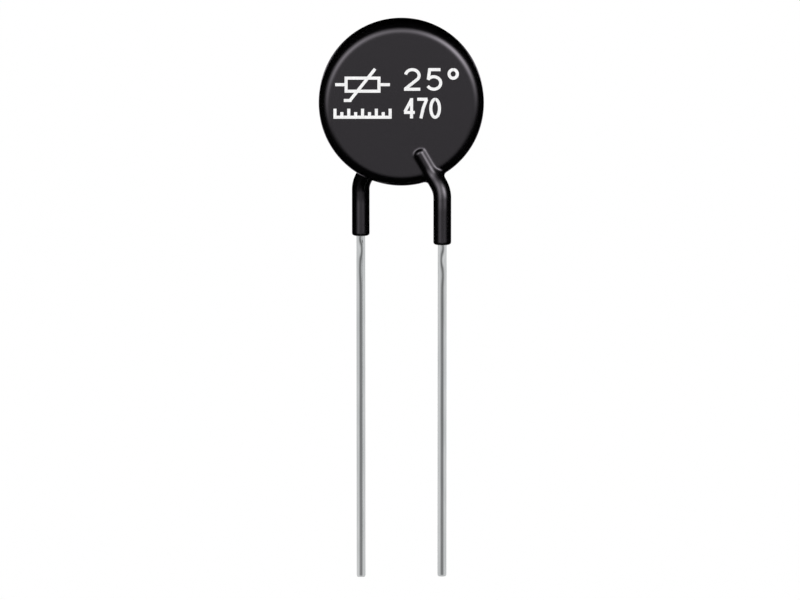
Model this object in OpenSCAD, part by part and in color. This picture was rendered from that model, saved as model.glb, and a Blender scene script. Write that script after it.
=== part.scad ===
// Disc thermistor with two wire leads: a sintered ceramic disc with silver faces, a bent
// tinned wire soldered to each face, and one dipped coat that runs a little way down each wire.
// The origin is midway between the wires on the seating plane, where the coat ends.
// The wires point down and the disc's axis runs along Y, with the front face towards -Y.

/* [Ceramic disc] */
// Diameter of the sintered ceramic
ceramic_d = 13.6; // [12:0.1:15]
// Thickness of the ceramic
ceramic_t = 3.8; // [3:0.1:4.4]
// Bevel on both edges of the ceramic
ceramic_bevel = 0.2; // [0.05:0.05:0.4]
// Height of the disc's centre above the seating plane
disc_rise = 12.8; // [12.4:0.1:14]

/* [Silver electrodes] */
// Thickness of the fired silver
silver_t = 0.05; // [0.03:0.01:0.1]
// Bare ring of ceramic around each silver face
silver_margin = 0.35; // [0.2:0.05:0.8]

/* [Wires] */
// Distance between the two straight wires, across the disc
lead_pitch = 7.5; // [6:0.1:9]
// Depth of each straight wire's axis, out from the middle of the disc
lead_depth = 3.05; // [2.8:0.05:3.4]
// Diameter of the tinned wire
wire_d = 0.84; // [0.7:0.01:1]
// Straight covered length between the seating plane and the first bend
rise_len = 4.25; // [3.6:0.05:5]
// Radius of both bends on the wire's centre line
bend_r = 2.2; // [1.5:0.1:3]
// Angle that the wire turns towards the middle of the disc, seen from the front
bend_angle = 30; // [15:1:40]
// Angle that the wire leans in towards the face between its two bends, seen from the side
lean_angle = 20; // [15:1:28]
// Straight length of wire above the second bend, up to its cut end
run_len = 1.88; // [1.6:0.02:2.6]
// Bare length of the front wire below the coat
front_bare_len = 30.9; // [5:0.05:40]
// Bare length of the rear wire below the coat
rear_bare_len = 32.15; // [5:0.05:40]

/* [Solder] */
// Film of solder between wire and silver
solder_film = 0.02; // [0.01:0.01:0.05]
// Height of the solder mound above the silver
solder_h = 0.5; // [0.3:0.05:0.6]
// Half of the mound's width across the wire
solder_half_w = 1; // [0.7:0.05:1.2]
// Length of the mound's even part along the wire
solder_len = 0.7; // [0.3:0.05:1.2]

/* [Coat] */
// Coat over each silver face
coat_face = 0.75; // [0.66:0.01:0.9]
// Coat around the ceramic's rim
coat_rim = 0.78; // [0.6:0.01:1]
// Coat around each straight wire, which makes its sleeve
coat_wire = 0.4; // [0.3:0.01:0.5]
// Coat around each wire on the face, which makes its ridge
coat_ridge = 0.26; // [0.16:0.01:0.36]
// Rounding between the coated faces and the rim
edge_r = 1; // [0.7:0.05:1.4]
// Radius of the rim's slight crown from face to face
crown_r = 60; // [20:5:100]
// Rounding at the lower end of each sleeve
sleeve_end_r = 0.2; // [0.05:0.05:0.4]
// Concave foot where a ridge meets the face
foot_r = 0.15; // [0.1:0.05:0.3]
// Concave web where a covered wire leaves the rim
web_r = 0.45; // [0.2:0.05:0.6]
// Thickness of the web along Y
web_t = 0.5; // [0.4:0.05:0.7]
// How deep the web's outer side lies under the coated face
web_under = 0.11; // [0.08:0.01:0.2]
// How far the web's concave edge is sunk into the covered wire and the rim
web_sink = 0.05; // [0.03:0.01:0.08]

/* [Hidden] */
$fn = 96;

// Levels along Y, out from the middle of the disc
silver_y = ceramic_t / 2 + silver_t;
run_y = silver_y + solder_film + wire_d / 2;
face_y = silver_y + coat_face;

// Radii
silver_r = ceramic_d / 2 - silver_margin;
body_r = ceramic_d / 2 + coat_rim;
sleeve_r = wire_d / 2 + coat_wire;
ridge_r = wire_d / 2 + coat_ridge;

// A front wire's way: up its rise, round the first bend to the slant, and round the second bend
// to the run on the face. From the front, the slant and the run lie on one straight line.
lead_x = lead_pitch / 2;
slant_angle = atan(norm([tan(bend_angle), tan(lean_angle)]));
slant_turn = atan2(tan(lean_angle), tan(bend_angle));
slant_dir = [-sin(slant_angle) * cos(slant_turn), sin(slant_angle) * sin(slant_turn), cos(slant_angle)];
run_dir = [-sin(bend_angle), 0, cos(bend_angle)];

// The first bend's sideways shift, and the start of the slant
first_shift = bend_r * (1 - cos(slant_angle));
slant_start = [
    lead_x - first_shift * cos(slant_turn),
    -lead_depth + first_shift * sin(slant_turn),
    rise_len + bend_r * sin(slant_angle)
];

// The second bend's angle, the length of its tangents, and its roll about the slant
second_angle = acos(slant_dir * run_dir);
second_reach = bend_r * tan(second_angle / 2);
slant_x_axis = [cos(slant_angle) * cos(slant_turn), -cos(slant_angle) * sin(slant_turn), sin(slant_angle)];
slant_y_axis = [sin(slant_turn), cos(slant_turn), 0];
second_roll = atan2(-run_dir * slant_y_axis, -run_dir * slant_x_axis);

// The slant's length, which brings the run down to the silver, and the start of the run
slant_len = (-run_y - slant_start[1]) / slant_dir[1] - second_reach;
run_start = slant_start + (slant_len + second_reach) * slant_dir + second_reach * run_dir;

// Centre of the ridge's round end, along the run
cap_s = run_len + coat_ridge - ridge_r;
// How much a ball that closes a joint of the wire is thicker than the wire
joint_ease = 0.001;

// Centre of the rounding between face and rim, in the disc's half section
edge_y = face_y - edge_r;
edge_x = body_r - crown_r + sqrt(pow(crown_r - edge_r, 2) - pow(edge_y, 2));

// How deep the run's axis lies under the coated face, and the reach of the foot beside it
sink = face_y - run_y;
foot_x = sqrt(pow(ridge_r + foot_r, 2) - pow(sink + foot_r, 2));
// How far back from the start of the run the foot begins, clear of the disc
foot_back = slant_len + second_reach;
// Share of the web's radius by which the web stands out from the disc
web_trim = 0.8;

// The disc's centre seen from the start of the run: along it and across it
centre_s = run_start[0] * sin(bend_angle) + (disc_rise - run_start[2]) * cos(bend_angle);
centre_t = -run_start[0] * cos(bend_angle) + (disc_rise - run_start[2]) * sin(bend_angle);

// The solder mound's section is part of a circle of this radius
mound_r = (pow(solder_half_w, 2) + pow(solder_h, 2)) / (2 * solder_h);
mound_depth = wire_d / 2 + solder_film + mound_r - solder_h;

coat_colour = [0.2, 0.195, 0.21];
ceramic_colour = [0.3, 0.29, 0.29];
silver_colour = [0.86, 0.86, 0.84];
solder_colour = [0.66, 0.67, 0.68];
wire_colour = [0.74, 0.75, 0.76];

// Half section of the coated disc, thicker all over by grow
module disc_section(grow = 0) {
    corner_r = edge_r + grow;
    tilt = atan2(edge_y, edge_x - body_r + crown_r);
    reach = 2 * corner_r;
    translate([0, -face_y - grow]) square([edge_x, 2 * (face_y + grow)]);
    for (side = [-1, 1]) translate([edge_x, side * edge_y]) circle(corner_r);
    intersection() {
        translate([body_r - crown_r, 0]) circle(crown_r + grow, $fn = 720);
        polygon([
            [edge_x, -edge_y],
            [edge_x + reach * cos(tilt), -edge_y - reach * sin(tilt)],
            [edge_x + reach * cos(tilt), edge_y + reach * sin(tilt)],
            [edge_x, edge_y]
        ]);
    }
}

module coated_disc(grow = 0) {
    translate([0, 0, disc_rise]) rotate([90, 0, 0]) rotate_extrude() disc_section(grow);
}

// Moves its children from the origin to the foot of the front wire's rise
module on_rise() {
    translate([lead_x, -lead_depth, 0]) children();
}

// Moves its children to the start of the slant, with Z along it
module on_slant() {
    translate(slant_start) rotate([0, -slant_angle, -slant_turn]) children();
}

// Moves its children to the start of the run: X across it, Z along it
module on_run() {
    translate(run_start) rotate([0, -bend_angle, 0]) children();
}

// A bend as thick as radius r, which starts along Z and turns towards -X
module bend(r, angle) {
    translate([-bend_r, 0, 0]) rotate([90, 0, 0])
        rotate_extrude(angle = angle) translate([bend_r, 0]) circle(r);
}

// Both bends and the slant between them, tapered from low_r to high_r, with a ball at each joint
module bends(low_r, high_r) {
    on_rise() translate([0, 0, rise_len]) rotate([0, 0, -slant_turn]) bend(low_r, slant_angle);
    on_slant() {
        sphere(low_r + joint_ease);
        cylinder(r1 = low_r, r2 = high_r, h = slant_len);
        translate([0, 0, slant_len]) {
            sphere(high_r + joint_ease);
            rotate([0, 0, second_roll]) bend(high_r, second_angle);
        }
    }
    on_run() sphere(high_r + joint_ease);
}

// Sleeve with a rounded lower end, bends, and the ridge with its round upper end
module wire_cover() {
    on_rise() rotate_extrude() {
        square([sleeve_r - sleeve_end_r, rise_len]);
        translate([0, sleeve_end_r]) square([sleeve_r, rise_len - sleeve_end_r]);
        translate([sleeve_r - sleeve_end_r, sleeve_end_r]) circle(sleeve_end_r);
    }
    bends(sleeve_r, ridge_r);
    on_run() {
        cylinder(r = ridge_r, h = cap_s);
        translate([0, 0, cap_s]) sphere(ridge_r);
    }
}

// One side of the concave foot, measured from the wire's axis outwards
module foot_section() {
    difference() {
        polygon([[0, 0], [foot_x, sink + foot_r], [foot_x, 0]]);
        translate([foot_x, sink + foot_r]) circle(foot_r);
    }
}

// The foot along both sides of the ridge and around its end
module foot() {
    intersection() {
        coated_disc(foot_r);
        on_run() {
            for (side = [0, 1]) mirror([side, 0, 0]) mirror([0, 1, 0])
                translate([0, 0, -foot_back]) linear_extrude(foot_back + cap_s) foot_section();
            translate([0, 0, cap_s]) rotate([90, 0, 0]) rotate_extrude(angle = 180) foot_section();
        }
    }
}

// Flat web with a concave edge on one side of the covered wire, in the plane of the run
module web_section(side) {
    middle_t = side * (sleeve_r + web_r - web_sink);
    middle_s = centre_s - sqrt(pow(body_r + web_r - web_sink, 2) - pow(middle_t - centre_t, 2));
    bite = (web_r + coat_rim) / (body_r + web_r);
    inner_t = middle_t + bite * (centre_t - middle_t);
    inner_s = middle_s + bite * (centre_s - middle_s);
    difference() {
        polygon([[0, middle_s], [middle_t, middle_s], [inner_t, inner_s], [0, inner_s]]);
        translate([middle_t, middle_s]) circle(web_r);
    }
}

module webs() {
    intersection() {
        coated_disc(web_trim * web_r);
        on_run() translate([0, web_t + web_under - sink, 0]) rotate([90, 0, 0]) linear_extrude(web_t) {
            web_section(-1);
            web_section(1);
        }
    }
}

// Everything that the coat adds over one wire, on the front side
module front_cover() {
    wire_cover();
    foot();
    webs();
}

module front_wire(bare_len) {
    on_rise() translate([0, 0, -bare_len]) cylinder(d = wire_d, h = bare_len + rise_len);
    bends(wire_d / 2, wire_d / 2);
    on_run() cylinder(d = wire_d, h = run_len);
}

module front_mound(bare_len) {
    difference() {
        intersection() {
            translate([0, -silver_y, disc_rise]) rotate([90, 0, 0]) cylinder(r = silver_r, h = coat_face);
            on_run() translate([0, mound_depth, run_len - solder_len]) {
                cylinder(r = mound_r, h = solder_len);
                sphere(mound_r);
                translate([0, 0, solder_len]) sphere(mound_r);
            }
        }
        front_wire(bare_len);
    }
}

module to_rear() {
    rotate([0, 0, 180]) children();
}

module silver_face() {
    translate([0, -ceramic_t / 2, disc_rise]) rotate([90, 0, 0]) cylinder(r = silver_r, h = silver_t);
}

module ceramic_disc() {
    half_t = ceramic_t / 2;
    r = ceramic_d / 2;
    color(ceramic_colour) translate([0, 0, disc_rise]) rotate([90, 0, 0]) rotate_extrude()
        polygon([
            [0, -half_t], [r - ceramic_bevel, -half_t], [r, -half_t + ceramic_bevel],
            [r, half_t - ceramic_bevel], [r - ceramic_bevel, half_t], [0, half_t]
        ]);
}

module front_electrode() {
    color(silver_colour) silver_face();
}

module rear_electrode() {
    color(silver_colour) to_rear() silver_face();
}

module front_solder() {
    color(solder_colour) front_mound(front_bare_len);
}

module rear_solder() {
    color(solder_colour) to_rear() front_mound(rear_bare_len);
}

module front_lead() {
    color(wire_colour) front_wire(front_bare_len);
}

module rear_lead() {
    color(wire_colour) to_rear() front_wire(rear_bare_len);
}

// The coat fills all the room between its outer skin and what it was dipped over
module coating() {
    color(coat_colour) difference() {
        union() {
            coated_disc();
            front_cover();
            to_rear() front_cover();
        }
        ceramic_disc();
        front_electrode();
        rear_electrode();
        front_solder();
        rear_solder();
        front_lead();
        rear_lead();
    }
}

coating();
ceramic_disc();
front_electrode();
rear_electrode();
front_solder();
rear_solder();
front_lead();
rear_lead();
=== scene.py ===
"""Looks of a disc thermistor: a black dipped coat over a ceramic disc, and two tinned wires.

Every size is in millimetres until a mesh is finished, and then in metres in the part's own frame:
+Z up from the seating plane, the disc's axis along Y and the printed face towards -Y.
"""

import logging
import math
from dataclasses import dataclass, field
from enum import Enum
from typing import Optional, Sequence, Union

import bmesh
import bpy
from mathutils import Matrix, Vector

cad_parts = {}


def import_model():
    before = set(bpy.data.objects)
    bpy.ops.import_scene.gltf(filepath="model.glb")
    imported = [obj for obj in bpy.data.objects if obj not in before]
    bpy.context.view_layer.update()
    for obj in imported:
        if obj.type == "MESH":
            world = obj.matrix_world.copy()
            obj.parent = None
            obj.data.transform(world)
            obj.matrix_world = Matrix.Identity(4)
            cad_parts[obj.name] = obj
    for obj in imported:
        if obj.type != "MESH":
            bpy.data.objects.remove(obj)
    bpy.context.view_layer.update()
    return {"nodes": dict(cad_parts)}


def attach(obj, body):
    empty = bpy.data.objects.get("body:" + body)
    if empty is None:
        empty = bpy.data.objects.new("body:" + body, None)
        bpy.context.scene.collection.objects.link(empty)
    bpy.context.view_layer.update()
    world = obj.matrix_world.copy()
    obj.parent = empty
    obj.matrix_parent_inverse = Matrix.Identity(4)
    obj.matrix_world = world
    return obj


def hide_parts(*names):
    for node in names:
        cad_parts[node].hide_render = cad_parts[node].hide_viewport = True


LOG = logging.getLogger("thermistor")
MM = 0.001
ROOT = "root"
WHITE = (1.0, 1.0, 1.0, 1.0)
GEOMETRY = ("Geometry", "NodeSocketGeometry")
DEGREES = 180.0 / math.pi

Value = Union["Flow", float, int, Sequence[float], str, bpy.types.ID]
Key = Union[str, int]


class Sheet:
    """Adds nodes to one tree, of a material, a light shell, the world or a mesh recipe."""

    def __init__(self, tree: bpy.types.NodeTree) -> None:
        """Empties the tree and keeps it.

        Args:
            tree: the node tree that the nodes go into.
        """
        tree.nodes.clear()
        self.tree = tree

    def add(self, kind: str, settings: Optional[dict[str, object]] = None,
            sockets: Optional[dict[Key, Value]] = None) -> bpy.types.Node:
        """Adds one node.

        Args:
            kind: the node's type.
            settings: its properties, set before its sockets.
            sockets: a value or a flow for each input, by name or by number.

        Returns:
            The new node.
        """
        node = self.tree.nodes.new(kind)
        for name, value in (settings or {}).items():
            setattr(node, name, value)
        for key, value in (sockets or {}).items():
            if isinstance(value, Flow):
                self.tree.links.new(value.socket, node.inputs[key])
            else:
                node.inputs[key].default_value = value
        return node

    def flow(self, kind: str, settings: Optional[dict[str, object]] = None,
             sockets: Optional[dict[Key, Value]] = None, out: Key = 0) -> "Flow":
        """Adds one node and gives one of its outputs.

        Args:
            kind: the node's type.
            settings: its properties.
            sockets: a value or a flow for each input.
            out: the output's name or number.

        Returns:
            That output, ready for arithmetic.
        """
        return Flow(self, self.add(kind, settings, sockets).outputs[out])

    def end(self, kind: str, flow: "Flow") -> None:
        """Adds the tree's output node and leads a flow into its first input.

        Args:
            kind: the output node's type.
            flow: what the tree gives.
        """
        self.tree.links.new(flow.socket, self.add(kind).inputs[0])

    def math(self, operation: str, *values: Value) -> "Flow":
        """Adds one Math node for an operation on one to three values."""
        return self.flow("ShaderNodeMath", {"operation": operation}, dict(enumerate(values)))

    def vector(self, operation: str, *values: Value) -> "Flow":
        """Adds one Vector Math node that gives a vector."""
        return self.flow("ShaderNodeVectorMath", {"operation": operation}, dict(enumerate(values)))

    def join(self, x: Value, y: Value, z: Value) -> "Flow":
        """Makes a vector of three values."""
        return self.flow("ShaderNodeCombineXYZ", None, {0: x, 1: y, 2: z})

    def parts(self, vector: "Flow") -> tuple["Flow", "Flow", "Flow"]:
        """Splits a vector into its three values."""
        node = self.add("ShaderNodeSeparateXYZ", None, {0: vector})
        return tuple(Flow(self, out) for out in node.outputs)

    def choose(self, test: Value, no: Value, yes: Value) -> "Flow":
        """Gives yes where the test is 1, no where it is 0, and a mix between."""
        return self.flow("ShaderNodeMix", {"data_type": "FLOAT"}, {0: test, 2: no, 3: yes})

    def blend(self, share: Value, first: Value, second: Value) -> "Flow":
        """Mixes two colours by a share."""
        return self.flow("ShaderNodeMix", {"data_type": "RGBA"},
                         {0: share, 6: first, 7: second}, 2)

    def noise(self, place: "Flow", scale: float, detail: float) -> "Flow":
        """Adds a noise texture around the value 0.5.

        Args:
            place: the coordinates that it is read at.
            scale: how many grains there are in a unit of length.
            detail: how many finer layers it has.

        Returns:
            The noise value.
        """
        return self.flow("ShaderNodeTexNoise", {"noise_dimensions": "3D"},
                         {"Vector": place, "Scale": scale, "Detail": detail})


class Flow:
    """A node's output that can be used in arithmetic, each step of which adds a Math node."""

    def __init__(self, sheet: Sheet, socket: bpy.types.NodeSocket) -> None:
        """Keeps the output.

        Args:
            sheet: the sheet that later nodes are added to.
            socket: the output socket.
        """
        self.sheet, self.socket = sheet, socket

    def __add__(self, other: Value) -> "Flow":
        """This plus another value."""
        return self.sheet.math("ADD", self, other)

    __radd__ = __add__

    def __sub__(self, other: Value) -> "Flow":
        """This minus another value."""
        return self.sheet.math("SUBTRACT", self, other)

    def __rsub__(self, other: Value) -> "Flow":
        """Another value minus this."""
        return self.sheet.math("SUBTRACT", other, self)

    def __mul__(self, other: Value) -> "Flow":
        """This times another value."""
        return self.sheet.math("MULTIPLY", self, other)

    __rmul__ = __mul__

    def __truediv__(self, other: Value) -> "Flow":
        """This divided by another value."""
        return self.sheet.math("DIVIDE", self, other)

    def __rtruediv__(self, other: Value) -> "Flow":
        """Another value divided by this."""
        return self.sheet.math("DIVIDE", other, self)

    def __neg__(self) -> "Flow":
        """This with its sign turned."""
        return self * -1.0

    def __abs__(self) -> "Flow":
        """This without its sign."""
        return self.sheet.math("ABSOLUTE", self)

    def least(self, other: Value) -> "Flow":
        """The smaller of this and another value."""
        return self.sheet.math("MINIMUM", self, other)

    def most(self, other: Value) -> "Flow":
        """The larger of this and another value."""
        return self.sheet.math("MAXIMUM", self, other)

    def root(self) -> "Flow":
        """The square root of this."""
        return self.sheet.math("SQRT", self)

    def squared(self) -> "Flow":
        """This times itself."""
        return self * self

    def hypot(self, other: "Flow") -> "Flow":
        """The length of a right triangle's long side, whose short sides are this and another."""
        return (self.squared() + other.squared()).root()

    def bell(self, middle: Value, width: Value) -> "Flow":
        """A smooth bump of height 1 around the middle."""
        return self.sheet.math("EXPONENT", -((self - middle) / width).squared())

    def step(self, low: Value, high: Value) -> "Flow":
        """A smooth rise from 0 at low to 1 at high."""
        return self.sheet.flow("ShaderNodeMapRange", {"interpolation_type": "SMOOTHSTEP"},
                               {"Value": self, "From Min": low, "From Max": high})

    def above(self, other: Value) -> "Flow":
        """1 where this is greater than another value, and 0 elsewhere."""
        return self.sheet.math("GREATER_THAN", self, other)


def new_material(name: str) -> tuple[bpy.types.Material, Sheet]:
    """Makes a material with an empty tree.

    Args:
        name: the material's name.

    Returns:
        The material and a sheet to add its nodes with.
    """
    material = bpy.data.materials.new(name)
    material.use_nodes = True
    return material, Sheet(material.node_tree)


def new_object(name: str, data: bpy.types.ID) -> bpy.types.Object:
    """Makes an object and adds it to the scene.

    Args:
        name: the object's name.
        data: its mesh, curve or camera.

    Returns:
        The object.
    """
    made = bpy.data.objects.new(name, data)
    bpy.context.scene.collection.objects.link(made)
    return made


class Slot(Enum):
    """The material slots, one for each finish."""

    COAT = "coat"
    CERAMIC = "ceramic"
    SILVER = "silver"
    SOLDER = "solder"
    WIRE = "tinned_wire"
    PRINT = "print"


class Side(Enum):
    """Which wire, as the turn about the vertical axis in units of half a turn."""

    FRONT = 0
    REAR = 1


@dataclass(frozen=True)
class Finish:
    """What a surface looks like: its colours, gloss and fine unevenness.

    Attributes:
        name: the material's name.
        dark: the darker of its two colours.
        light: the lighter of its two colours.
        metallic: 1 for a metal.
        roughness: the mean roughness.
        gloss_change: how much the roughness varies.
        grain: grains in a millimetre, of the colour and the roughness.
        stretch: how much shorter the grains are along X, Y and Z than that.
        bump_height: height of the unevenness in millimetres.
        bump_grain: grains of the unevenness in a millimetre.
        specular: the shader's specular level.
        cloud_size: how many times wider than the grains the clouds among them are.
        contrast: levels of the grain at which the dark colour ends and the light one begins.
    """

    name: str
    dark: tuple[float, float, float]
    light: tuple[float, float, float]
    metallic: float
    roughness: float
    gloss_change: float
    grain: float
    bump_height: float
    bump_grain: float
    stretch: tuple[float, float, float] = (1.0, 1.0, 1.0)
    specular: float = 0.5
    cloud_size: float = 6.0
    contrast: tuple[float, float] = (0.35, 0.65)

    def make(self) -> bpy.types.Material:
        """Builds the material.

        Returns:
            A material of procedural nodes on Object coordinates.
        """
        material, sheet = new_material(self.name)
        place = sheet.flow("ShaderNodeTexCoord", out="Object")
        scaled = sheet.flow("ShaderNodeMapping", None,
                            {"Vector": place, "Scale": tuple(s / MM for s in self.stretch)})
        grain = sheet.noise(scaled, self.grain, detail=3.0)
        cloud = sheet.noise(scaled, self.grain / self.cloud_size, detail=1.0)
        colour = sheet.blend((grain * 0.5 + cloud * 0.5).step(*self.contrast),
                             (*self.dark, 1.0), (*self.light, 1.0))
        height = sheet.noise(scaled, self.bump_grain, detail=1.0)
        normal = sheet.flow("ShaderNodeBump", None,
                            {"Strength": 1.0, "Distance": self.bump_height * MM, "Height": height})
        shader = sheet.flow("ShaderNodeBsdfPrincipled", None, {
            "Base Color": colour,
            "Metallic": self.metallic,
            "Roughness": (cloud - 0.5) * self.gloss_change + self.roughness,
            "Specular IOR Level": self.specular,
            "Normal": normal,
        })
        sheet.end("ShaderNodeOutputMaterial", shader)
        return material


FINISHES: dict[Slot, Finish] = {
    Slot.COAT: Finish("dipped_coat", (0.0005, 0.0005, 0.0006), (0.0011, 0.001, 0.0012), 0.0,
                      0.2, 0.02, 0.6, 0.0004, 0.5, specular=0.45),
    Slot.CERAMIC: Finish("sintered_ceramic", (0.05, 0.046, 0.045), (0.09, 0.084, 0.08), 0.0,
                         0.7, 0.1, 8.0, 0.004, 12.0),
    Slot.SILVER: Finish("fired_silver", (0.74, 0.73, 0.7), (0.86, 0.85, 0.82), 1.0,
                        0.42, 0.1, 6.0, 0.003, 10.0),
    Slot.SOLDER: Finish("tin_solder", (0.45, 0.45, 0.47), (0.58, 0.58, 0.6), 1.0,
                        0.28, 0.1, 3.0, 0.004, 4.0),
    Slot.WIRE: Finish("tinned_copper", (0.55, 0.565, 0.57), (0.64, 0.65, 0.655), 1.0,
                      0.2, 0.06, 2.5, 0.0006, 2.0, stretch=(1.0, 1.0, 0.12)),
    Slot.PRINT: Finish("white_ink", (0.86, 0.86, 0.86), (0.95, 0.95, 0.95), 0.0,
                       0.5, 0.1, 5.0, 0.002, 9.0),
}


@dataclass(frozen=True)
class WirePath:
    """The path of one wire: straight up, then over and in towards the disc, and along its face.

    Attributes:
        lead_x: distance of the straight wire from the middle.
        lead_y: depth of the straight wire's axis, out from the middle of the disc.
        run_y: depth of the wire's axis over the face.
        rise_len: height at which the bend begins.
        bend_r: radius of the bend, seen from the front.
        bend_angle: angle of the bend in degrees, seen from the front.
        leans: stretches on which the wire leans in, along its path from the end of the bend, and
            the share of the whole lean that each of them takes.
    """

    lead_x: float = 3.75
    lead_y: float = 3.05
    run_y: float = 2.39
    rise_len: float = 4.25
    bend_r: float = 2.5
    bend_angle: float = 30.0
    leans: tuple[tuple[float, float, float], ...] = (
        (-2.4, -1.0, 0.07), (-1.45, 1.2, 0.68), (-0.6, 2.0, 0.25))

    @property
    def turn(self) -> float:
        """The bend's angle in radians."""
        return math.radians(self.bend_angle)

    @property
    def centre_x(self) -> float:
        """Distance of the bend's centre from the middle."""
        return self.lead_x - self.bend_r

    @property
    def run_start(self) -> tuple[float, float]:
        """X and Z of the start of the straight run above the bend."""
        return (self.centre_x + self.bend_r * math.cos(self.turn),
                self.rise_len + self.bend_r * math.sin(self.turn))

    def depth(self, sheet: Sheet, along: Flow, end: float) -> tuple[Flow, Flow]:
        """How deep the axis of the wire or of its cover lies.

        Args:
            sheet: the tree's sheet.
            along: the place along the path.
            end: its depth on the face.

        Returns:
            The depth out from the middle of the disc, and the cosine of the lean there.
        """
        # Each stretch is the smooth step 3s^2 - 2s^3, whose slope is 6s(1 - s)
        depth, slope = along * 0.0 + self.lead_y, along * 0.0
        for low, high, part in self.leans:
            drop = (self.lead_y - end) * part
            share = ((along - low) / (high - low)).most(0.0).least(1.0)
            depth = depth - share.squared() * (3.0 - share * 2.0) * drop
            slope = slope + share * (1.0 - share) * (6.0 * drop / (high - low))
        return depth, 1.0 / (slope.squared() + 1.0).root()


def mesh_group(name: str, sizes: dict[str, float], takes: tuple[str, str] = GEOMETRY,
               gives: tuple[str, str] = GEOMETRY
               ) -> tuple[bpy.types.NodeTree, Sheet, dict[str, Flow]]:
    """Makes a Geometry Nodes tree with named inputs.

    Args:
        name: the tree's name.
        sizes: name and default of each number that it takes.
        takes: name and type of its first input.
        gives: name and type of its output.

    Returns:
        The tree, a sheet to add its nodes with, and its inputs by name.
    """
    tree = bpy.data.node_groups.new(name, "GeometryNodeTree")
    face = tree.interface
    face.new_socket(takes[0], in_out="INPUT", socket_type=takes[1])
    face.new_socket(gives[0], in_out="OUTPUT", socket_type=gives[1])
    for size, value in sizes.items():
        face.new_socket(size, in_out="INPUT", socket_type="NodeSocketFloat").default_value = value
    sheet = Sheet(tree)
    given = sheet.add("NodeGroupInput").outputs
    return tree, sheet, {key: Flow(sheet, given[key]) for key in (takes[0], *sizes)}


def finish_tree(sheet: Sheet, mesh: Flow, material: bpy.types.Material,
                smooth: bool = True) -> None:
    """Brings a tree's mesh from millimetres to metres, realises it and sets its material.

    Args:
        sheet: the tree's sheet.
        mesh: the mesh so far, in millimetres.
        material: the material that it gets.
        smooth: whether its faces are shaded smooth.
    """
    shaded = sheet.flow("GeometryNodeSetShadeSmooth", None, {0: mesh, "Shade Smooth": smooth})
    metres = sheet.flow("GeometryNodeTransform", None, {0: shaded, "Scale": (MM, MM, MM)})
    real = sheet.flow("GeometryNodeRealizeInstances", None, {0: metres})
    sheet.end("NodeGroupOutput",
              sheet.flow("GeometryNodeSetMaterial", None, {0: real, "Material": material}))


def grow(name: str, tree: bpy.types.NodeTree, sizes: dict[str, float],
         start: Optional[bpy.types.ID] = None) -> bpy.types.Object:
    """Runs a tree once and keeps its result as a plain mesh.

    Args:
        name: the new object's name.
        tree: the Geometry Nodes tree.
        sizes: a value for each named input.
        start: the mesh or curve that the tree works on, or None.

    Returns:
        An object at the origin, with no modifier.
    """
    seed = new_object(name + "_seed", start or bpy.data.meshes.new(name + "_seed"))
    modifier = seed.modifiers.new("recipe", "NODES")
    modifier.node_group = tree
    for item in tree.interface.items_tree:
        if item.in_out == "INPUT" and item.name in sizes:
            modifier[item.identifier] = float(sizes[item.name])
    bpy.context.view_layer.update()
    made = seed.evaluated_get(bpy.context.evaluated_depsgraph_get())
    mesh = bpy.data.meshes.new_from_object(made)
    mesh.name = name
    bpy.data.objects.remove(seed)
    return new_object(name, mesh)


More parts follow.
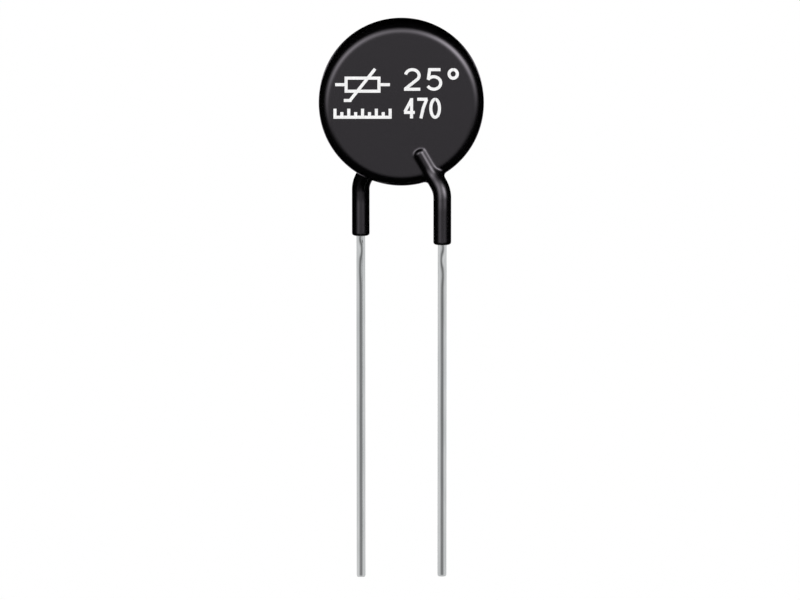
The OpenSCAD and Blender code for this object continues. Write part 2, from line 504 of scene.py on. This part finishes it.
@dataclass
class Coat:
    """The dipped skin over the disc, the soldered wire ends and the tops of both wires.

    Its surface is where a distance field is zero: a rounded disc joined to two bent tubes, with a
    hollow fillet wherever resin would creep into a corner.

    Attributes:
        path: the path of the wires under it.
        disc_rise: height of the disc's centre.
        body_r: outer radius of the disc.
        face_y: level of the flat faces.
        edge_r: rounding between face and rim.
        crown_r: radius of the rim's slight crown.
        sleeve_r: radius of the sleeves.
        ridge_r: radius of the ridges' top.
        ridge_h: height of a ridge above the face.
        ridge_shift: how far the ridge lies inwards of the wire's path, seen from the front.
        taper_from: where along the run the sleeve begins to turn into the ridge.
        taper_to: where it has its full shape.
        ridge_end: end of the ridge along the run.
        sleeve_end_r: rounding of a sleeve's lower end.
        ridge_end_r: rounding of a ridge's upper end.
        foot: size of the hollow fillet on the faces.
        web: size of the hollow fillet on the rim.
        creep_zone: where the fillet changes from foot to web, counted inwards from the rim.
        pitch: size of the grid that the skin is drawn on.
        margin: how many cells the grid reaches past the skin.
        probe: how far from a point its slope is measured, in cells.
        passes: how often the skin's points are moved on to its true place.
        least_slope: the least squared slope that such a move reckons with.
    """

    path: WirePath = field(default_factory=WirePath)
    disc_rise: float = 12.8
    body_r: float = 7.58
    face_y: float = 2.7
    edge_r: float = 1.0
    crown_r: float = 60.0
    sleeve_r: float = 0.82
    ridge_r: float = 0.7
    ridge_h: float = 0.27
    ridge_shift: float = 0.09
    taper_from: float = 0.2
    taper_to: float = 1.8
    ridge_end: float = 3.7
    sleeve_end_r: float = 0.2
    ridge_end_r: float = 0.4
    foot: float = 0.15
    web: float = 0.5
    creep_zone: tuple[float, float] = (1.0, 0.3)
    pitch: float = 0.1
    margin: float = 4.0
    probe: float = 0.1
    passes: int = 2
    least_slope: float = 0.2

    def sizes(self) -> dict[str, float]:
        """Names and values of the inputs of the distance tree."""
        return {
            "Disc Rise": self.disc_rise, "Body Radius": self.body_r, "Face Level": self.face_y,
            "Edge Radius": self.edge_r, "Crown Radius": self.crown_r,
            "Sleeve Radius": self.sleeve_r, "Ridge Radius": self.ridge_r,
            "Ridge End": self.ridge_end,
            "Sleeve End Radius": self.sleeve_end_r, "Ridge End Radius": self.ridge_end_r,
            "Foot": self.foot, "Web": self.web,
        }

    def unbend(self, sheet: Sheet, x: Flow, z: Flow) -> tuple[Flow, Flow]:
        """Straightens the wire's path.

        Args:
            sheet: the tree's sheet.
            x: distance from the middle, on the side of one wire.
            z: height.

        Returns:
            The distance across the path, and the place along it from the start of the run.
        """
        path = self.path
        cos, sin = math.cos(path.turn), math.sin(path.turn)
        run_x, run_z = path.run_start
        right, up = x - path.centre_x, z - path.rise_len
        angle = sheet.math("ARCTAN2", up, right)
        on_run, on_bend = angle.above(path.turn), up.above(0.0)
        across_run = (x - run_x) * cos + (z - run_z) * sin
        along_run = (z - run_z) * cos - (x - run_x) * sin
        arc = path.bend_r * path.turn
        across = sheet.choose(on_run, right.hypot(up) - path.bend_r, across_run)
        along = sheet.choose(on_run, angle * path.bend_r - arc, along_run)
        return (sheet.choose(on_bend, x - path.lead_x, across),
                sheet.choose(on_bend, up - arc, along))

    def rounded(self, wide: Flow, tall: Flow, radius: Flow) -> Flow:
        """Distance to a rounded corner.

        Args:
            wide: distance past the inner side face.
            tall: distance past the inner end face.
            radius: the corner's radius.

        Returns:
            The distance to the surface.
        """
        outside = wide.most(0.0).hypot(tall.most(0.0))
        return outside + wide.most(tall).least(0.0) - radius

    def distance_tree(self) -> bpy.types.NodeTree:
        """Builds the tree that gives the distance from a point to the skin.

        Returns:
            A tree with a vector input and named sizes.
        """
        tree, sheet, size = mesh_group("coat_distance", self.sizes(),
                                       takes=("Point", "NodeSocketVector"),
                                       gives=("Distance", "NodeSocketFloat"))
        x, y, z = sheet.parts(size["Point"])
        rise = z - size["Disc Rise"]
        radial = x.hypot(rise)
        edge = size["Edge Radius"]
        wide = radial + y.squared() / (size["Crown Radius"] * 2.0) - (size["Body Radius"] - edge)
        disc = self.rounded(wide, abs(y) - (size["Face Level"] - edge), edge)
        side = sheet.math("SIGN", x)
        across, along = self.unbend(sheet, abs(x), z)
        shape = along.step(self.taper_from, self.taper_to)
        radius = sheet.choose(shape, size["Sleeve Radius"], size["Ridge Radius"])
        axis, upright = self.path.depth(sheet, along, self.face_y + self.ridge_h - self.ridge_r)
        out = (across + shape * self.ridge_shift).hypot((y * side + axis) * upright)
        foot_end = -(self.path.bend_r * self.path.turn + self.path.rise_len)
        low, high = size["Sleeve End Radius"], size["Ridge End Radius"]
        sleeve = self.rounded(out - (radius - low), foot_end - along + low, low)
        ridge = self.rounded(out - (radius - high), along - (size["Ridge End"] - high), high)
        tube = sheet.choose(along.above(0.0), sleeve, ridge)
        on_rim = radial.step(*(self.body_r - inwards for inwards in self.creep_zone))
        creep = sheet.choose(on_rim, size["Foot"], size["Web"])
        near_disc, near_tube = (creep - disc).most(0.0), (creep - tube).most(0.0)
        joined = creep.most(disc.least(tube)) - near_disc.hypot(near_tube)
        sheet.end("NodeGroupOutput", joined)
        return tree

    def skin_tree(self, material: bpy.types.Material) -> bpy.types.NodeTree:
        """Builds the tree that draws the skin as a mesh.

        Args:
            material: the coat's material.

        Returns:
            A tree for a modifier.
        """
        distance = self.distance_tree()
        tree, sheet, given = mesh_group("coat_skin", self.sizes())
        sizes = {name: given[name] for name in self.sizes()}

        def measure(point: Flow) -> Flow:
            """Distance from a point to the skin."""
            return sheet.flow("GeometryNodeGroup", {"node_tree": distance},
                              {"Point": point, **sizes})

        place = sheet.flow("GeometryNodeInputPosition")
        reach = self.pitch * self.margin
        depth = self.path.lead_y + self.sleeve_r + reach
        low = Vector((-self.body_r - reach, -depth, -reach))
        high = Vector((self.body_r + reach, depth, self.disc_rise + self.body_r + reach))
        cells = [round((b - a) / self.pitch) for a, b in zip(low, high)]
        cloud = sheet.flow("GeometryNodeVolumeCube", None, {
            "Density": -measure(place), "Background": -1.0, "Min": low, "Max": high,
            "Resolution X": cells[0], "Resolution Y": cells[1], "Resolution Z": cells[2]})
        mesh = sheet.flow("GeometryNodeVolumeToMesh", None,
                          {"Volume": cloud, "Threshold": 0.0, "Adaptivity": 0.0})
        step = self.pitch * self.probe
        for _ in range(self.passes):
            here = measure(place)
            slope = [measure(sheet.vector("ADD", place, tuple(step * (i == k) for k in range(3))))
                     for i in range(3)]
            gradient = sheet.join(*[(there - here) / step for there in slope])
            steep = sheet.flow("ShaderNodeVectorMath", {"operation": "DOT_PRODUCT"},
                               {0: gradient, 1: gradient}, "Value")
            move = sheet.flow("ShaderNodeVectorMath", {"operation": "SCALE"},
                              {0: gradient, "Scale": -(here / steep.most(self.least_slope))})
            mesh = sheet.flow("GeometryNodeSetPosition", None, {0: mesh, "Offset": move})
        finish_tree(sheet, mesh, material)
        return tree

    def build(self, material: bpy.types.Material) -> bpy.types.Object:
        """Makes the skin and puts it in the place of its node.

        Args:
            material: the coat's material.

        Returns:
            The finished piece.
        """
        piece = grow("coat_skin", self.skin_tree(material), self.sizes())
        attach(piece, ROOT)
        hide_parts("coating")
        return piece


@dataclass(frozen=True)
class Mark:
    """A shallow hollow that the forming tool left in a wire.

    Attributes:
        height: height of its middle.
        turn: its angle round the wire in radians, from the side that faces -Y.
        half_len: its half length.
        depth: its depth.
        half_width: its half width in radians.
    """

    height: float
    turn: float
    half_len: float
    depth: float
    half_width: float = 0.7


@dataclass
class Lead:
    """One tinned wire, with the marks under its sleeve.

    Attributes:
        side: which wire it is.
        bare_len: bare length below the coat.
        marks: its marks.
        path: the wire's path.
        wire_r: radius of the wire.
        run_len: straight length above the bend.
        tip_r: rounding of the cut ends.
        sides: how many sides its section has.
        ring: distance between two rings.
        cap_rings: how many rings each cut end has.
    """

    side: Side
    bare_len: float
    marks: tuple[Mark, ...]
    path: WirePath = field(default_factory=WirePath)
    wire_r: float = 0.42
    run_len: float = 3.65
    tip_r: float = 0.05
    sides: int = 64
    ring: float = 0.12
    cap_rings: int = 3

    @property
    def node(self) -> str:
        """Name of the node that it stands for."""
        return f"{self.side.name.lower()}_lead"

    def sizes(self) -> dict[str, float]:
        """Names and values of the tree's inputs."""
        return {"Bare Length": self.bare_len, "Wire Radius": self.wire_r,
                "Run Length": self.run_len, "Tip Radius": self.tip_r}

    def tree(self, material: bpy.types.Material) -> bpy.types.NodeTree:
        """Builds the tree that draws the wire.

        Args:
            material: the wire's material.

        Returns:
            A tree for a modifier.
        """
        path = self.path
        tree, sheet, given = mesh_group(self.node + "_recipe", self.sizes())
        bare, radius, run, tip = (given[name] for name in self.sizes())
        arc = path.bend_r * path.turn
        top = run + (path.rise_len + arc)
        length = top + bare
        rod = sheet.flow("GeometryNodeMeshCylinder", None, {
            "Vertices": self.sides, "Side Segments": sheet.math("ROUND", length / self.ring),
            "Fill Segments": self.cap_rings, "Radius": radius, "Depth": length})
        x, y, z = sheet.parts(sheet.flow("GeometryNodeInputPosition"))
        height = z + (top - bare) / 2.0
        sign = 1.0 if self.side is Side.FRONT else -1.0
        around = sheet.math("ARCTAN2", x * sign, y * -sign)
        out = x.hypot(y)
        dent: Value = 0.0
        for mark in self.marks:
            along = height.bell(mark.height, mark.half_len)
            dent = along * around.bell(mark.turn, mark.half_width) * mark.depth + dent
        to_end = (height + bare).least(top - height)
        corner = (tip - to_end).most(0.0)
        chamfer = tip - (tip.squared() - corner.squared()).most(0.0).root()
        shrink = (out / radius).squared() * (dent + chamfer) / radius
        across, deep = x * (1.0 - shrink), y * (1.0 - shrink)
        past = height - path.rise_len
        angle = (past / path.bend_r).most(0.0).least(path.turn)
        cos, sin = sheet.math("COSINE", angle), sheet.math("SINE", angle)
        along = (past - arc).most(0.0)
        reach = across + path.bend_r
        new_x = reach * cos - along * sin + path.centre_x
        new_z = reach * sin + along * cos + past.least(0.0) + path.rise_len
        axis, _ = path.depth(sheet, past - arc, path.run_y)
        placed = sheet.join(new_x * sign, (deep - axis) * sign, new_z)
        mesh = sheet.flow("GeometryNodeSetPosition", None, {0: rod, "Position": placed})
        finish_tree(sheet, mesh, material)
        return tree

    def build(self, material: bpy.types.Material) -> bpy.types.Object:
        """Makes the wire and puts it in the place of its node.

        Args:
            material: the wire's material.

        Returns:
            The finished piece.
        """
        piece = grow(self.node + "_wire", self.tree(material), self.sizes())
        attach(piece, ROOT)
        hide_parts(self.node)
        return piece


Point = tuple[float, float]


def arc(centre: Point, radius: Point, start: float, end: float, count: int = 16) -> list[Point]:
    """Points on part of an ellipse.

    Args:
        centre: its centre.
        radius: its half width and half height.
        start: first angle in degrees, counted from the right.
        end: last angle in degrees.
        count: how many steps it has.

    Returns:
        The points in order.
    """
    turns = [math.radians(start + (end - start) * i / count) for i in range(count + 1)]
    return [(centre[0] + radius[0] * math.cos(t), centre[1] + radius[1] * math.sin(t))
            for t in turns]


class Glyph(Enum):
    """A printed mark as strokes in a box 1 wide and 1 high, from its lower left corner."""

    TWO = (tuple(arc((0.5, 0.7), (0.46, 0.3), 170, -35) + [(0.03, 0.02)]),
           ((-0.06, 0.0), (1.04, 0.0)))
    FIVE = (((0.92, 1.0), (0.14, 1.0)), ((0.2, 1.06), (0.1, 0.5)),
            tuple([(0.08, 0.48)] + arc((0.47, 0.32), (0.47, 0.32), 140, -150)))
    DEGREE = (tuple(arc((0.3, 0.78), (0.28, 0.22), 90, 450, 24)),)
    FOUR = (((0.74, 1.06), (0.74, -0.06)), ((0.74, 1.0), (0.03, 0.3)),
            ((-0.06, 0.27), (1.08, 0.27)))
    SEVEN = (((-0.03, 1.0), (1.06, 1.0)), ((0.97, 1.0), (0.6, 0.5), (0.36, -0.06)))
    ZERO = (tuple(arc((0.5, 0.5), (0.46, 0.5), 90, 450, 24)),)


@dataclass(frozen=True)
class Row:
    """A row of printed marks.

    Attributes:
        glyphs: its marks.
        corner: lower left corner of the first mark, from the disc's centre.
        size: width and height of a mark.
        step: distance from one mark to the next.
    """

    glyphs: tuple[Glyph, ...]
    corner: Point
    size: Point
    step: float

    def strokes(self) -> list[list[Point]]:
        """Its strokes in millimetres from the disc's centre."""
        (x, z), (wide, high) = self.corner, self.size
        return [[(x + i * self.step + u * wide, z + v * high) for u, v in stroke]
                for i, glyph in enumerate(self.glyphs) for stroke in glyph.value]


@dataclass
class Print:
    """White marks on the front face: plain numbers, the drawing of a resistor and a row of ticks.

    Attributes:
        face_y: level of the face that they are printed on.
        disc_rise: height of the disc's centre.
        stroke: width of a stroke.
        ink: thickness of the ink.
        lift: how much higher each stroke lies than the one before it.
        rows: the numbers.
        symbol: centre of the drawing.
        body: half width and half height of the drawing's box.
        reach: half of the drawing's width with its leads.
        slash: half width and half height of the slanted line through the box.
        slash_foot: length of the level stroke at the slanted line's lower end.
        scale: left end, lower end, spacing and height of the ticks.
        ticks: how many ticks there are.
        short_tick: height of every second tick against the others.
    """

    face_y: float = 2.7
    disc_rise: float = 12.8
    stroke: float = 0.28
    ink: float = 0.012
    lift: float = 0.001
    rows: tuple[Row, ...] = (
        Row((Glyph.TWO, Glyph.FIVE, Glyph.DEGREE), (0.33, 1.45), (1.35, 1.8), 2.0),
        Row((Glyph.FOUR, Glyph.SEVEN, Glyph.ZERO), (0.3, -1.13), (0.86, 1.66), 1.18))
    symbol: Point = (-3.54, 1.87)
    body: Point = (1.5, 0.6)
    reach: float = 2.5
    slash: Point = (1.15, 1.45)
    slash_foot: float = 0.56
    scale: tuple[float, float, float, float] = (-6.06, -1.12, 0.63, 0.78)
    ticks: int = 9
    short_tick: float = 0.6

    def sizes(self) -> dict[str, float]:
        """Names and values of the tree's inputs."""
        return {"Stroke": self.stroke, "Ink": self.ink}

    def drawing(self) -> list[list[Point]]:
        """Strokes of the drawing: a box with a lead at each end, crossed by a slanted line."""
        (x, z), (w, h), half = self.symbol, self.body, self.stroke / 2.0
        (u, v), far = self.slash, self.reach
        return [[(x - w - half, z + h * k), (x + w + half, z + h * k)] for k in (-1, 1)] + [
            [(x + w * k, z - h), (x + w * k, z + h)] for k in (-1, 1)] + [
            [(x + w * k, z), (x + far * k, z)] for k in (-1, 1)] + [
            [(x - u, z - v), (x + u, z + v)],
            [(x - u - self.slash_foot, z - v), (x - u + half, z - v)]]

    def ruler(self) -> list[list[Point]]:
        """Strokes of the ticks, of which every second one is short, and of the line under them."""
        x, z, step, height = self.scale
        tops = (z + height, z + height * self.short_tick)
        marks = [[(x + i * step, z), (x + i * step, tops[i % 2])] for i in range(self.ticks)]
        half = self.stroke / 2.0
        return marks + [[(x - half, z), (x + (self.ticks - 1) * step + half, z)]]

    def tree(self, material: bpy.types.Material) -> bpy.types.NodeTree:
        """Builds the tree that lays ink along the strokes.

        Args:
            material: the ink's material.

        Returns:
            A tree for a modifier on a curve.
        """
        tree, sheet, given = mesh_group("ink_recipe", self.sizes())
        stroke, ink = (given[name] for name in self.sizes())
        nib = sheet.flow("GeometryNodeCurvePrimitiveQuadrilateral", {"mode": "RECTANGLE"},
                         {"Width": stroke, "Height": ink})
        level = sheet.flow("GeometryNodeSetCurveNormal", {"mode": "Z_UP"}, {0: given["Geometry"]})
        laid = sheet.flow("GeometryNodeCurveToMesh", None, {0: level, 1: nib, "Fill Caps": True})
        upright = sheet.flow("GeometryNodeTransform", None, {
            0: laid, "Translation": (0.0, -self.face_y, self.disc_rise),
            "Rotation": (math.pi / 2.0, 0.0, 0.0)})
        finish_tree(sheet, upright, material, smooth=False)
        return tree

    def build(self, material: bpy.types.Material) -> bpy.types.Object:
        """Makes the marks.

        Args:
            material: the ink's material.

        Returns:
            The finished piece.
        """
        curve = bpy.data.curves.new("strokes", "CURVE")
        curve.dimensions = "3D"
        groups = [row.strokes() for row in self.rows] + [self.drawing(), self.ruler()]
        for level, stroke in [pair for group in groups for pair in enumerate(group)]:
            line = curve.splines.new("POLY")
            line.points.add(len(stroke) - 1)
            for point, (x, z) in zip(line.points, stroke):
                point.co = (x, z, level * self.lift, 1.0)
        piece = grow("face_print", self.tree(material), self.sizes(), curve)
        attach(piece, ROOT)
        return piece


@dataclass
class Core:
    """The pieces inside the coat, which keep their own solids and get a finish each."""

    slots: dict[str, Slot] = field(default_factory=lambda: {
        "ceramic_disc": Slot.CERAMIC,
        "front_electrode": Slot.SILVER, "rear_electrode": Slot.SILVER,
        "front_solder": Slot.SOLDER, "rear_solder": Slot.SOLDER})

    def build(self, nodes: dict[str, bpy.types.Object],
              materials: dict[Slot, bpy.types.Material]) -> list[bpy.types.Object]:
        """Dresses the solids.

        Args:
            nodes: the part's nodes by name.
            materials: the materials by slot.

        Returns:
            The dressed nodes.
        """
        for name, slot in self.slots.items():
            node = nodes[name]
            node.data.materials.clear()
            node.data.materials.append(materials[slot])
        return [nodes[name] for name in self.slots]


@dataclass
class Studio:
    """A white room, the camera, and soft light shells of which each lights its own pieces.

    Attributes:
        shell_r: radius of each light shell in metres.
        shell_sides: how many segments a light shell has round it and from pole to pole.
        floor_z: level of the floor in metres.
        floor_half: half of the floor's width in metres.
        elevation: how far above the horizon the camera is, in degrees.
        distance: from the camera to its target, in metres.
        target: the point in the middle of the picture, in metres.
        sensor: width of the sensor in millimetres.
        pixels_per_mm: the picture's scale at the target.
        picture_width: width of the picture in pixels.
        clip: nearest and farthest distance that the camera sees, in metres.
    """

    shell_r: tuple[float, float] = (1.5, 1.6)
    shell_sides: tuple[int, int] = (64, 32)
    floor_z: float = -0.08
    floor_half: float = 3.0
    elevation: float = 8.5
    distance: float = 0.55
    target: tuple[float, float, float] = (-0.00012, 0.0, -0.00561)
    sensor: float = 36.0
    pixels_per_mm: float = 10.842
    picture_width: float = 800.0
    clip: tuple[float, float] = (0.01, 20.0)

    def shell(self, name: str, light: "Shell", lit: Sequence[bpy.types.Object],
              radius: float) -> bpy.types.Object:
        """Adds a light shell that only some pieces reflect.

        Args:
            name: its name.
            light: the pattern of its light.
            lit: the pieces that it lights.
            radius: its radius in metres.

        Returns:
            The shell.
        """
        mesh = bpy.data.meshes.new(name)
        ball = bmesh.new()
        around, upwards = self.shell_sides
        bmesh.ops.create_uvsphere(ball, u_segments=around, v_segments=upwards, radius=radius)
        ball.to_mesh(mesh)
        ball.free()
        material, sheet = new_material(name)
        x, y, z = sheet.parts(sheet.vector(
            "NORMALIZE", sheet.flow("ShaderNodeTexCoord", out="Object")))
        tilt = sheet.math("ARCCOSINE", -y) * DEGREES
        turn = sheet.math("ARCTAN2", x, z) * DEGREES
        glow = sheet.flow("ShaderNodeEmission", None, {
            "Color": (*light.colour, 1.0), "Strength": light.pattern(sheet, tilt, turn)})
        clear = sheet.flow("ShaderNodeBsdfTransparent")
        sheet.end("ShaderNodeOutputMaterial",
                  sheet.flow("ShaderNodeAddShader", None, {0: glow, 1: clear}))
        material.cycles.emission_sampling = "NONE"
        mesh.materials.append(material)
        shell = new_object(name, mesh)
        for kind in ("camera", "diffuse", "transmission", "volume_scatter", "shadow"):
            setattr(shell, "visible_" + kind, False)
        receivers = bpy.data.collections.new(name + "_receivers")
        for piece in lit:
            receivers.objects.link(piece)
        shell.light_linking.receiver_collection = receivers
        return shell

    def floor(self) -> bpy.types.Object:
        """Adds the plain white floor, well below the hanging part."""
        half = self.floor_half
        corner_signs = ((-1, -1), (1, -1), (1, 1), (-1, 1))
        mesh = bpy.data.meshes.new("floor")
        mesh.from_pydata([(half * i, half * k, self.floor_z) for i, k in corner_signs],
                         [], [(0, 1, 2, 3)])
        material, sheet = new_material("white_floor")
        sheet.end("ShaderNodeOutputMaterial",
                  sheet.flow("ShaderNodeBsdfDiffuse", None, {"Color": WHITE}))
        mesh.materials.append(material)
        floor = new_object("floor", mesh)
        floor.visible_glossy = False
        return floor

    def world(self) -> None:
        """Sets the room: white to the eye and for plain light. Gloss sees only the shells."""
        world = bpy.data.worlds.new("white_room")
        bpy.context.scene.world = world
        world.use_nodes = True
        sheet = Sheet(world.node_tree)
        glossy = sheet.flow("ShaderNodeLightPath", out="Is Glossy Ray")
        sheet.end("ShaderNodeOutputWorld", sheet.flow(
            "ShaderNodeBackground", None, {"Color": WHITE, "Strength": 1.0 - glossy}))

    def camera(self) -> bpy.types.Object:
        """Adds the camera at the picture's angle."""
        up = math.radians(self.elevation)
        back = Vector((0.0, -math.cos(up), math.sin(up)))
        focal_px = self.pixels_per_mm * self.distance / MM
        data = bpy.data.cameras.new("camera")
        data.sensor_width = self.sensor
        data.lens = focal_px * self.sensor / self.picture_width
        data.clip_start, data.clip_end = self.clip
        camera = new_object("camera", data)
        camera.location = Vector(self.target) + back * self.distance
        camera.rotation_mode = "QUATERNION"
        camera.rotation_quaternion = (-back).to_track_quat("-Z", "Y")
        bpy.context.scene.camera = camera
        return camera


@dataclass(frozen=True)
class Glow:
    """A smooth rise along a screen's border, of its brightness or of its place.

    Attributes:
        turn: its place round the camera's side, in degrees clockwise from the top.
        spread: how far it reaches to each side along the border, in degrees.
        strength: its height: a brightness, where 1 is white, or degrees.
    """

    turn: float
    spread: float
    strength: float

    def along(self, turn: Flow) -> Flow:
        """Its height by direction.

        Args:
            turn: degrees clockwise from the top, seen from the part.

        Returns:
            The height there.
        """
        return turn.bell(self.turn, self.spread) * self.strength


class Shell:
    """A pattern of light by direction, in one colour: white, or the shell's own."""

    colour: tuple[float, float, float] = (1.0, 1.0, 1.0)

    def pattern(self, sheet: Sheet, tilt: Flow, turn: Flow) -> Flow:
        """Gives the brightness by direction.

        Args:
            sheet: the sheet that its nodes go into.
            tilt: degrees away from the horizontal line to the camera's side.
            turn: degrees clockwise from the top, seen from the part.

        Returns:
            The brightness, where 1 is white.
        """
        raise NotImplementedError


@dataclass(frozen=True)
class CoatShell(Shell):
    """What the black coat mirrors: a pale screen with a bright upper border, and dark beyond.

    Attributes:
        screen: brightness of the screen.
        reach_up: how far the screen reaches to the sides and up, in degrees.
        reach_down: how far it reaches downwards.
        fade_up: half of the width of its soft edge at the sides and the top.
        fade_down: half of the width of its soft lower edge.
        under: from where to where the screen's edge changes from its upper to its lower form, in
            degrees to each side of the top.
        border: place of the bright border's middle, in degrees from the screen's middle.
        border_width: its half width.
        shifts: the stretches on which the border lies further out, or further in.
        glows: the bright stretches of the border.
        back: brightness of a second screen, far round behind, that only rear views mirror.
        back_reach: where that screen begins and ends to fade, in degrees from the line away from
            the camera's side.
        back_under: where it begins and ends to appear, in degrees to each side of the top.
        colour: the light's colour.
    """

    screen: float = 0.88
    reach_up: float = 52.0
    reach_down: float = 19.5
    fade_up: float = 16.0
    fade_down: float = 17.0
    under: tuple[float, float] = (80.0, 135.0)
    border: float = 30.8
    border_width: float = 17.2
    shifts: tuple[Glow, ...] = (Glow(62.0, 38.0, 9.5), Glow(0.0, 20.0, -5.0))
    glows: tuple[Glow, ...] = (
        Glow(52.0, 27.0, 9.6), Glow(-56.0, 38.0, 4.4), Glow(-2.0, 30.0, 1.7))
    back: float = 0.7
    back_reach: tuple[float, float] = (34.0, 42.0)
    back_under: tuple[float, float] = (104.0, 116.0)
    colour: tuple[float, float, float] = (1.01, 0.94, 1.04)

    def pattern(self, sheet: Sheet, tilt: Flow, turn: Flow) -> Flow:
        """Gives the brightness by direction."""
        under = abs(turn).step(*self.under)
        reach = sheet.choose(under, self.reach_up, self.reach_down)
        fade = sheet.choose(under, self.fade_up, self.fade_down)
        screen = (1.0 - tilt.step(reach - fade, reach + fade)) * self.screen
        border = sum(shift.along(turn) for shift in self.shifts) + self.border
        level = sum(glow.along(turn) for glow in self.glows)
        behind = (1.0 - (180.0 - tilt).step(*self.back_reach)) * self.back
        back = behind * abs(turn).step(*self.back_under)
        return screen + tilt.bell(border, self.border_width) * level + back


@dataclass(frozen=True)
class WireShell(Shell):
    """What the metal mirrors: the white room, with the dark of the camera's side in front.

    Attributes:
        dark: how much of the white the dark takes away.
        half_width: half of the dark's width in degrees.
        side_dark: how much a second dark takes away at the sides.
        side_tilt: the second dark's middle, in degrees from the line to the camera's side.
        side_width: half of the second dark's width in degrees.
    """

    dark: float = 0.83
    half_width: float = 46.0
    side_dark: float = 0.2
    side_tilt: float = 104.0
    side_width: float = 14.0

    def pattern(self, sheet: Sheet, tilt: Flow, turn: Flow) -> Flow:
        """Gives the brightness by direction."""
        front = tilt.bell(0.0, self.half_width) * self.dark
        sides = tilt.bell(self.side_tilt, self.side_width) * self.side_dark
        return 1.0 - front - sides


def main() -> None:
    """Builds the part and the studio in order, and reports each piece."""
    logging.basicConfig(level=logging.INFO, format="%(message)s")
    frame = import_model()
    materials = {slot: finish.make() for slot, finish in FINISHES.items()}
    coat = Coat()
    skin = coat.build(materials[Slot.COAT])
    leads = [
        Lead(Side.FRONT, bare_len=30.9, marks=(
            Mark(-0.35, -0.5, 0.35, 0.08), Mark(-1.45, 0.6, 0.55, 0.12),
            Mark(-2.9, -0.5, 0.7, 0.06))),
        Lead(Side.REAR, bare_len=32.15, marks=(
            Mark(-0.3, 0.5, 0.3, 0.08), Mark(-1.35, -0.6, 0.6, 0.12),
            Mark(-3.2, 0.5, 1.1, 0.07))),
    ]
    wires = [lead.build(materials[Slot.WIRE]) for lead in leads]
    marks = Print(face_y=coat.face_y).build(materials[Slot.PRINT])
    core = Core().build(frame["nodes"], materials)
    for piece in [skin, *wires, marks, *core]:
        LOG.info("%s: %d faces", piece.name, len(piece.data.polygons))
    studio = Studio()
    studio.shell("coat_light", CoatShell(), [skin, marks], studio.shell_r[0])
    studio.shell("wire_light", WireShell(), wires, studio.shell_r[1])
    studio.floor()
    studio.world()
    studio.camera()
    bpy.context.scene.view_settings.view_transform = "Standard"


if __name__ == "__main__":
    main()
